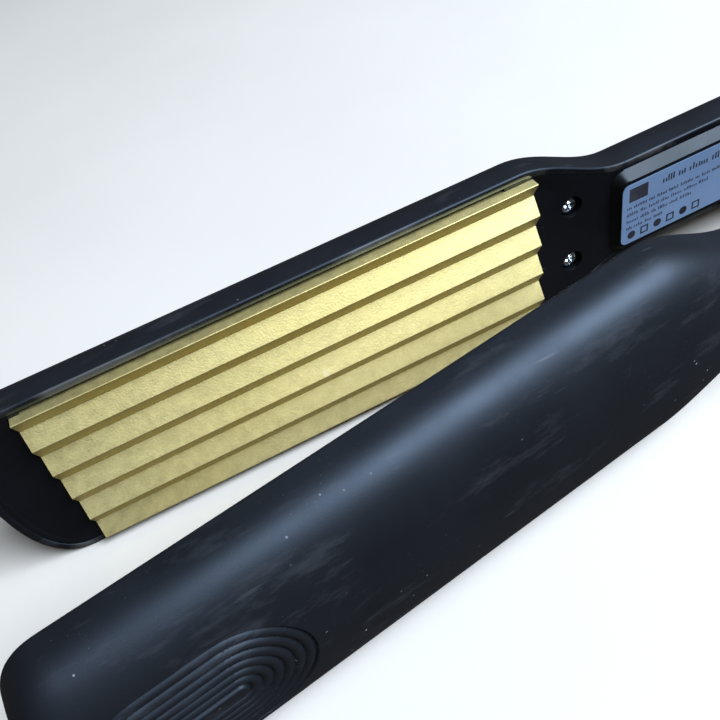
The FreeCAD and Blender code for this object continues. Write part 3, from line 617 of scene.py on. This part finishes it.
def crimp_plate(arm):
    profile = ridge_profile(arm == "cord_arm")
    valley = RIDGE_DEPTH - MID
    verts = []
    lengths = np.linspace(0, 1, PLATE_ROWS)
    for share in lengths:
        for z, y in profile:
            bevel = PLATE_END_BEVEL * max(0.0, valley - y) / RIDGE_DEPTH + PLATE_END_GAP
            x0 = PLATE_TIP + bevel
            x1 = PLATE_HEEL - bevel
            verts.append((x0 + (x1 - x0) * share, y, z))
    n = len(profile)
    rows = len(lengths)
    faces = grid_faces(rows, n)
    faces += [((i + 1) * n, i * n, i * n + n - 1, (i + 1) * n + n - 1) for i in range(rows - 1)]
    faces.append(tuple(range(n)))
    faces.append(tuple(range((rows - 1) * n, rows * n)))
    return new_object(arm + "_plate", verts, faces, arm_matrix(arm), 30)


# ------------------------------------------------------------------ label
def rounded_slab(name, x0, x1, y0, y1, half_z, radius, matrix):
    outline = []
    for cx, cz, start in ((x1 - radius, half_z - radius, 0), (x0 + radius, half_z - radius, 90),
                          (x0 + radius, radius - half_z, 180), (x1 - radius, radius - half_z, 270)):
        for i in range(9):
            a = math.radians(start + i * 90 / 8)
            outline.append((cx + radius * math.cos(a), cz + radius * math.sin(a)))
    n = len(outline)
    verts = [(x, y0, z) for x, z in outline] + [(x, y1, z) for x, z in outline]
    faces = [tuple(range(n)), tuple(range(2 * n - 1, n - 1, -1))]
    faces += [(i, (i + 1) % n, n + (i + 1) % n, n + i) for i in range(n)]
    return new_object(name, verts, faces, matrix)


def rating_label():
    return rounded_slab("label_film", LABEL_X, LABEL_X + LABEL_LENGTH, LABEL_Y, PAD_Y, LABEL_HALF,
                        LABEL_CORNER, arm_matrix("cord_arm"))


def rectangle(x, z, length, height):
    low = z - height / 2
    high = z + height / 2
    return [(x, low), (x + length, low), (x + length, high), (x, high)]


def dot(x, z, radius):
    angles = np.linspace(0, 2 * math.pi, 17)[:-1]
    return [(x + radius * math.cos(a), z + radius * math.sin(a)) for a in angles]


def print_shapes():
    """The label's plain bars, blocks and dots, (x, z) from its tip end and its middle line."""
    chance = random.Random(7)
    shapes = [rectangle(1.6, 4.6, 4.4, 3.2)]
    shapes += ticks(chance, 9.5, 4.9, 30.0, 1.5, 0.34)
    for row, length in enumerate((21.0, 18.5, 16.0, 9.0)):
        shapes += ticks(chance, 1.2, 1.7 - 1.65 * row, length, 0.8, 0.2)
    for i in range(3):
        shapes.append(dot(2.5 + 6.4 * i, -5.3, 0.95))
        shapes += frame_bars(4.7 + 6.4 * i, -5.3, 1.9, 0.35)
    shapes += [rectangle(27.0 + 0.9 * i, -0.6, 0.3 + 0.3 * (i % 3 == 0), 4.6) for i in range(20)]
    return shapes


def ticks(chance, x, z, length, height, width):
    """A line of small upright ticks in groups, the generic stand-in for a line of print."""
    shapes = []
    end = x + length
    while x < end:
        for _ in range(chance.randint(3, 8)):
            tall = height * chance.choice((0.6, 0.75, 1.0))
            shapes.append(rectangle(x, z - (height - tall) / 2, width, tall))
            x += width * chance.uniform(1.7, 2.3)
        x += 2.2 * width
    return shapes


def frame_bars(x, z, size, bar):
    """A small square outline."""
    half = size / 2
    bars = [rectangle(x, z + half - bar / 2, size, bar), rectangle(x, z - half + bar / 2, size, bar)]
    bars += [rectangle(x, z, bar, size - 2 * bar), rectangle(x + size - bar, z, bar, size - 2 * bar)]
    return bars


def label_print():
    verts = []
    faces = []
    for outline in print_shapes():
        n = len(verts)
        count = len(outline)
        verts += [(LABEL_X + x, LABEL_Y - INK, z) for x, z in outline]
        verts += [(LABEL_X + x, LABEL_Y + INK, z) for x, z in outline]
        faces += [tuple(range(n, n + count)), tuple(range(n + 2 * count - 1, n + count - 1, -1))]
        for i in range(count):
            after = (i + 1) % count
            faces.append((n + i, n + after, n + count + after, n + count + i))
    return new_object("label_print", verts, faces, arm_matrix("cord_arm"))


# ------------------------------------------------------------------ materials
def material(name):
    result = bpy.data.materials.new(name)
    result.use_nodes = True
    nodes = result.node_tree.nodes
    return result, nodes, result.node_tree.links, nodes["Principled BSDF"]


def noise(nodes, links, coords, scale, detail=4.0, roughness=0.55):
    node = nodes.new("ShaderNodeTexNoise")
    node.inputs["Scale"].default_value = scale
    node.inputs["Detail"].default_value = detail
    node.inputs["Roughness"].default_value = roughness
    links.new(coords, node.inputs["Vector"])
    return node.outputs["Fac"]


def ramp(nodes, links, value, low, high, dark, light):
    node = nodes.new("ShaderNodeValToRGB")
    node.color_ramp.elements[0].position = low
    node.color_ramp.elements[1].position = high
    node.color_ramp.elements[0].color = (*dark, 1)
    node.color_ramp.elements[1].color = (*light, 1)
    links.new(value, node.inputs["Fac"])
    return node.outputs["Color"]


def spread(nodes, links, value, low, high, to_low, to_high):
    node = nodes.new("ShaderNodeMapRange")
    for key, number in (("From Min", low), ("From Max", high), ("To Min", to_low), ("To Max", to_high)):
        node.inputs[key].default_value = number
    links.new(value, node.inputs["Value"])
    return node.outputs["Result"]


def bump(nodes, links, shader, value, strength, distance):
    node = nodes.new("ShaderNodeBump")
    node.inputs["Strength"].default_value = strength
    node.inputs["Distance"].default_value = distance
    links.new(value, node.inputs["Height"])
    links.new(node.outputs["Normal"], shader.inputs["Normal"])


def object_coords(nodes):
    return nodes.new("ShaderNodeTexCoord").outputs["Object"]


def stretched(nodes, links, coords, scale):
    node = nodes.new("ShaderNodeMapping")
    node.inputs["Scale"].default_value = scale
    links.new(coords, node.inputs["Vector"])
    return node.outputs["Vector"]


def mixed(nodes, links, share, first, second):
    node = nodes.new("ShaderNodeMix")
    node.data_type = "RGBA"
    links.new(share, node.inputs["Factor"])
    for value, socket in ((first, node.inputs["A"]), (second, node.inputs["B"])):
        if isinstance(value, tuple):
            socket.default_value = (*value, 1)
        else:
            links.new(value, socket)
    return node.outputs["Result"]


def multiplied(nodes, links, first, second):
    node = nodes.new("ShaderNodeMath")
    node.operation = "MULTIPLY"
    links.new(first, node.inputs[0])
    links.new(second, node.inputs[1])
    return node.outputs["Value"]


def facing(nodes, links, low, high, sign):
    """1 where the surface faces along sign x Y, and 0 elsewhere."""
    normal = nodes.new("ShaderNodeSeparateXYZ")
    links.new(nodes.new("ShaderNodeTexCoord").outputs["Normal"], normal.inputs["Vector"])
    return spread(nodes, links, normal.outputs["Y"], sign * low, sign * high, 0, 1)


def dust_specks(nodes, links, coords, scale):
    """Sparse pale specks, gathered in patches."""
    specks = nodes.new("ShaderNodeTexVoronoi")
    specks.inputs["Scale"].default_value = scale
    links.new(coords, specks.inputs["Vector"])
    dots = spread(nodes, links, specks.outputs["Distance"], 0.03, 0.075, 1, 0)
    patch = spread(nodes, links, noise(nodes, links, coords, 45, 3), 0.46, 0.62, 0, 0.9)
    return multiplied(nodes, links, dots, patch)


def scratches(nodes, links, coords, stretch, scale):
    """Thin broken lines that run one way."""
    fibres = noise(nodes, links, stretched(nodes, links, coords, stretch), scale, 2, 0.4)
    lines = spread(nodes, links, fibres, 0.665, 0.70, 0, 1)
    patch = spread(nodes, links, noise(nodes, links, coords, 26, 3), 0.56, 0.66, 0, 0.8)
    return multiplied(nodes, links, lines, patch)


def soft_touch_colour(nodes, links, coords, inward):
    """Mottled near-black with dust, scratches and scuffs. The rims are lightened pale except round the
    knuckle: partly wear, partly a painted edge highlight.
    """
    cloud = noise(nodes, links, coords, 28, 5)
    colour = ramp(nodes, links, cloud, 0.35, 0.7, (0.0032, 0.0034, 0.0045), (0.0058, 0.006, 0.0078))
    colour = mixed(nodes, links, dust_specks(nodes, links, coords, 330), colour, (0.30, 0.30, 0.32))
    colour = mixed(nodes, links, dust_specks(nodes, links, coords, 900), colour, (0.09, 0.09, 0.10))
    marks = scratches(nodes, links, coords, (0.05, 1.0, 1.0), 900)
    colour = mixed(nodes, links, marks, colour, (0.10, 0.10, 0.11))
    streaks = noise(nodes, links, stretched(nodes, links, coords, (0.25, 1, 1)), 150, 8, 0.7)
    scuff = spread(nodes, links, streaks, 0.55, 0.70, 0, 0.7)
    colour = mixed(nodes, links, scuff, colour, (0.024, 0.025, 0.029))
    # Pale rims, picked by which way the surface faces: partly wear, partly a painted edge highlight.
    wear_and_painted_highlight = spread(nodes, links, noise(nodes, links, coords, 60, 4), 0.48, 0.62, 0, 0.6)
    place = nodes.new("ShaderNodeSeparateXYZ")
    links.new(coords, place.inputs["Vector"])
    off_knuckle = spread(nodes, links, place.outputs["X"], HINGE.x - 0.034, HINGE.x - 0.026, 1, 0)
    wear_and_painted_highlight = multiplied(nodes, links, wear_and_painted_highlight, off_knuckle)
    edges = multiplied(nodes, links, facing(nodes, links, 0.25, 0.55, inward), wear_and_painted_highlight)
    return mixed(nodes, links, edges, colour, (0.085, 0.083, 0.08))


def soft_touch(name, inward):
    """Matte soft-touch paint: fine orange-peel, mottling, dust, scuffs and rims that hands have polished."""
    result, nodes, links, shader = material(name)
    coords = object_coords(nodes)
    links.new(soft_touch_colour(nodes, links, coords, inward), shader.inputs["Base Color"])
    rough = spread(nodes, links, noise(nodes, links, coords, 75, 5), 0.3, 0.7, 0.47, 0.56)
    polished = spread(nodes, links, noise(nodes, links, coords, 130, 4), 0.3, 0.7, 0.24, 0.32)
    gloss = nodes.new("ShaderNodeMix")
    links.new(facing(nodes, links, 0.93, 0.985, inward), gloss.inputs["Factor"])
    links.new(rough, gloss.inputs["A"])
    links.new(polished, gloss.inputs["B"])
    links.new(gloss.outputs["Result"], shader.inputs["Roughness"])
    shader.inputs["Specular IOR Level"].default_value = 0.46
    shader.inputs["Specular Tint"].default_value = (0.62, 0.78, 1.0, 1)
    bump(nodes, links, shader, noise(nodes, links, coords, 3200, 2), 0.14, 0.00005)
    return result


def inner_plastic():
    result, nodes, links, shader = material("inner_black")
    coords = object_coords(nodes)
    colour = ramp(nodes, links, noise(nodes, links, coords, 40, 4), 0.35, 0.7, (0.0028, 0.003, 0.0042),
                  (0.0052, 0.0055, 0.0072))
    colour = mixed(nodes, links, dust_specks(nodes, links, coords, 500), colour, (0.08, 0.08, 0.085))
    links.new(colour, shader.inputs["Base Color"])
    rough = spread(nodes, links, noise(nodes, links, coords, 90, 4), 0.3, 0.7, 0.33, 0.43)
    links.new(rough, shader.inputs["Roughness"])
    shader.inputs["Specular IOR Level"].default_value = 0.20
    shader.inputs["Specular Tint"].default_value = (0.76, 0.88, 1.0, 1)
    bump(nodes, links, shader, noise(nodes, links, coords, 2400, 2), 0.10, 0.00005)
    return result


def gold_coating():
    """Bead-blasted pale gold: metallic and sandy, with slow drifts in tone and a few faint rubs."""
    result, nodes, links, shader = material("gold_plate")
    coords = object_coords(nodes)
    drift = noise(nodes, links, stretched(nodes, links, coords, (0.35, 1, 1)), 30, 3)
    tone = ramp(nodes, links, drift, 0.3, 0.72, (0.85, 0.73, 0.33), (0.91, 0.81, 0.42))
    grain = noise(nodes, links, stretched(nodes, links, coords, (0.4, 1, 1)), 4200, 3)
    grain_tone = ramp(nodes, links, grain, 0.3, 0.7, (0.86, 0.85, 0.82), (1.0, 1.0, 1.0))
    blend = nodes.new("ShaderNodeMix")
    blend.data_type = "RGBA"
    blend.blend_type = "MULTIPLY"
    blend.inputs["Factor"].default_value = 1.0
    links.new(tone, blend.inputs["A"])
    links.new(grain_tone, blend.inputs["B"])
    rubs = scratches(nodes, links, coords, (1.0, 1.0, 0.08), 600)
    colour = mixed(nodes, links, rubs, blend.outputs["Result"], (0.97, 0.90, 0.62))
    links.new(colour, shader.inputs["Base Color"])
    shader.inputs["Metallic"].default_value = 1.0
    rough = spread(nodes, links, noise(nodes, links, coords, 500, 4), 0.3, 0.7, 0.48, 0.55)
    links.new(rough, shader.inputs["Roughness"])
    bump(nodes, links, shader, noise(nodes, links, coords, 2600, 3), 0.35, 0.00008)
    return result


def plain(name, low, high, scale, rough, metallic=0.0, fine=1800, depth=0.00004, stretch=(1, 1, 1)):
    """A surface whose tone and gloss drift, with a fine relief."""
    result, nodes, links, shader = material(name)
    coords = stretched(nodes, links, object_coords(nodes), stretch)
    colour = ramp(nodes, links, noise(nodes, links, coords, scale, 4), 0.35, 0.68, low, high)
    links.new(colour, shader.inputs["Base Color"])
    shader.inputs["Metallic"].default_value = metallic
    gloss = spread(nodes, links, noise(nodes, links, coords, scale * 2.5, 4), 0.3, 0.7, rough[0], rough[1])
    links.new(gloss, shader.inputs["Roughness"])
    bump(nodes, links, shader, noise(nodes, links, coords, fine, 2), 0.2, depth)
    return result


def node_materials():
    return {
        "soft_touch_black": soft_touch("soft_touch_cord", -1),
        "soft_touch_free": soft_touch("soft_touch_free", 1),
        "inner_black": inner_plastic(),
        "gold_plate": gold_coating(),
        "heater_ceramic": plain("heater_ceramic", (0.70, 0.68, 0.63), (0.84, 0.82, 0.78), 90, (0.55, 0.7)),
        "insulation": plain("insulation", (0.50, 0.30, 0.06), (0.66, 0.42, 0.10), 60, (0.25, 0.35)),
        "spring_steel": plain("spring_steel", (0.50, 0.50, 0.52), (0.66, 0.66, 0.68), 60, (0.22, 0.34),
                              1.0, 1500, 0.00003, (0.1, 1, 1)),
        "carrier_plastic": plain("carrier_plastic", (0.03, 0.03, 0.03), (0.06, 0.06, 0.058), 80,
                                 (0.5, 0.62)),
        "zinc_screw": plain("zinc_screw", (0.58, 0.62, 0.66), (0.80, 0.83, 0.86), 300, (0.2, 0.3),
                            1.0, 4000),
        "label": plain("label", (0.155, 0.235, 0.385), (0.185, 0.275, 0.44), 60, (0.3, 0.38), 0.25, 900),
        "lens_red": plain("lens_red", (0.35, 0.01, 0.008), (0.5, 0.02, 0.012), 200, (0.08, 0.14)),
        "board_green": plain("board_green", (0.01, 0.10, 0.04), (0.02, 0.17, 0.07), 200, (0.25, 0.35)),
        "switch_black": plain("switch_black", (0.012, 0.012, 0.014), (0.02, 0.02, 0.022), 100, (0.3, 0.4)),
        "knob_grey": plain("knob_grey", (0.10, 0.105, 0.11), (0.15, 0.155, 0.16), 150, (0.42, 0.52)),
        "bush_rubber": plain("bush_rubber", (0.014, 0.014, 0.015), (0.026, 0.026, 0.028), 120, (0.6, 0.72)),
        "lead_sleeve": plain("lead_sleeve", (0.72, 0.70, 0.66), (0.82, 0.81, 0.77), 120, (0.5, 0.6)),
        "thermal_metal": plain("thermal_metal", (0.60, 0.61, 0.62), (0.74, 0.75, 0.76), 150, (0.28, 0.4),
                               1.0),
        "pin_steel": plain("pin_steel", (0.46, 0.46, 0.48), (0.60, 0.60, 0.62), 120, (0.2, 0.32), 1.0, 2500,
                           0.00002, (1, 1, 0.15)),
        "washer_white": plain("washer_white", (0.72, 0.72, 0.69), (0.82, 0.82, 0.79), 100, (0.4, 0.5)),
        "label_ink": plain("label_ink", (0.012, 0.013, 0.02), (0.03, 0.032, 0.045), 300, (0.35, 0.45)),
    }


# ------------------------------------------------------------------ camera, floor and light
CAMERA_PLACE = Vector((PLATE_TIP + 37.6, -102.3, 100.64))
CAMERA_HEADING = math.radians(11.77)
CAMERA_DROP = math.radians(45.07)
CAMERA_ROLL = math.radians(17.23)
CAMERA_LENS = 38.18
FLOOR_SIZE = 3.0
LAMP_AZIMUTH = math.radians(45)
LAMP_ELEVATION = math.radians(52)
LAMP_DISTANCE = 1.2
LAMP_SIZE = (1.0, 0.75)
LAMP_POWER = 46
LAMP_COLOUR = (0.78, 0.88, 1.0)
ROOM_COLOUR = (0.95, 0.88, 0.80, 1)
ROOM_STRENGTH = 0.085


def place_camera():
    """The view: from above and in front of the tips, 45 degrees down, set out from the cord arm's plate."""
    arm = Matrix.Translation(HINGE) @ Matrix.Rotation(-OPEN_ANGLE / 2, 4, "Z")
    place = arm @ (CAMERA_PLACE * MM)
    level = math.cos(CAMERA_DROP)
    ahead = Vector((math.sin(CAMERA_HEADING) * level, math.cos(CAMERA_HEADING) * level,
                    -math.sin(CAMERA_DROP)))
    forward = arm.to_3x3() @ ahead
    level_right = forward.cross(Vector((0, 0, 1))).normalized()
    level_up = level_right.cross(forward)
    up = level_up * math.cos(CAMERA_ROLL) + level_right * math.sin(CAMERA_ROLL)
    right = forward.cross(up)
    lens = bpy.data.cameras.new("camera")
    lens.sensor_width = 36
    lens.lens = CAMERA_LENS
    lens.clip_start = 0.005
    camera = bpy.data.objects.new("camera", lens)
    camera.matrix_world = Matrix((
        (right.x, up.x, -forward.x, place.x),
        (right.y, up.y, -forward.y, place.y),
        (right.z, up.z, -forward.z, place.z),
        (0, 0, 0, 1)))
    bpy.context.scene.collection.objects.link(camera)
    bpy.context.scene.camera = camera


def area_light(name, place, target, size, power, colour):
    light = bpy.data.lights.new(name, "AREA")
    light.shape = "RECTANGLE"
    light.size, light.size_y = size
    light.energy = power
    light.color = colour
    lamp = bpy.data.objects.new(name, light)
    lamp.location = place
    lamp.rotation_euler = (Vector(target) - Vector(place)).to_track_quat("-Z", "Y").to_euler()
    bpy.context.scene.collection.objects.link(lamp)


def add_floor():
    """A plain pale floor, left out of reflections."""
    bm = bmesh.new()
    bmesh.ops.create_grid(bm, x_segments=1, y_segments=1, size=FLOOR_SIZE)
    mesh = bpy.data.meshes.new("floor")
    bm.to_mesh(mesh)
    bm.free()
    floor = bpy.data.objects.new("floor", mesh)
    bpy.context.scene.collection.objects.link(floor)
    floor.data.materials.append(plain("floor_paper", (0.53, 0.50, 0.465), (0.56, 0.53, 0.49), 8, (0.8, 0.9)))
    floor.visible_glossy = False


def add_light():
    """One large cool window to the right of the camera, and a dim warm room around it."""
    world = bpy.data.worlds.new("studio")
    bpy.context.scene.world = world
    world.use_nodes = True
    background = world.node_tree.nodes["Background"]
    background.inputs["Color"].default_value = ROOM_COLOUR
    background.inputs["Strength"].default_value = ROOM_STRENGTH
    target = Vector((-0.06, 0.0, 0.02))
    level = math.cos(LAMP_ELEVATION)
    towards = Vector((math.sin(LAMP_AZIMUTH) * level, -math.cos(LAMP_AZIMUTH) * level,
                      math.sin(LAMP_ELEVATION)))
    area_light("window", target + towards * LAMP_DISTANCE, target, LAMP_SIZE, LAMP_POWER, LAMP_COLOUR)
    bpy.context.scene.view_settings.view_transform = "Standard"


# ------------------------------------------------------------------ making it
def finish_piece(piece, body, slot, look, *nodes):
    piece.data.materials.clear()
    piece.data.materials.append(look)
    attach(piece, body)
    if nodes:
        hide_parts(*nodes)


def main():
    place_camera()
    add_floor()
    add_light()
    looks = node_materials()
    slots = {item["node"]: item["material_slot"] for item in frame["record"]["subparts"]}
    for node, piece in frame["nodes"].items():
        for slot in piece.material_slots:
            slot.material = looks[slots[node]]
    finish_piece(cord_arm_shell(), "cord_arm", "soft_touch_black", looks["soft_touch_black"],
                 "cord_arm_outer_shell")
    finish_piece(free_arm_shell(), "free_arm", "soft_touch_black", looks["soft_touch_free"],
                 "free_arm_outer_shell")
    for arm in ("cord_arm", "free_arm"):
        finish_piece(inner_cover(arm), arm, "inner_black", looks["inner_black"], arm + "_inner_cover")
        finish_piece(tip_cover(arm), arm, "inner_black", looks["inner_black"], arm + "_tip_cover")
        finish_piece(crimp_plate(arm), arm, "gold_plate", looks["gold_plate"], arm + "_crimp_plate")
        heel = cover_fingers(arm + "_heel_fingers", arm, PLATE_HEEL - 6, COVER_START + 0.2)
        finish_piece(heel, arm, "inner_black", looks["inner_black"])
        tip = cover_fingers(arm + "_tip_fingers", arm, PLATE_TIP - 0.5, PLATE_TIP + 2)
        finish_piece(tip, arm, "inner_black", looks["inner_black"])
    finish_piece(rating_label(), "cord_arm", "label", looks["label"], "rating_label")
    finish_piece(label_print(), "cord_arm", "label", looks["label_ink"])


main()
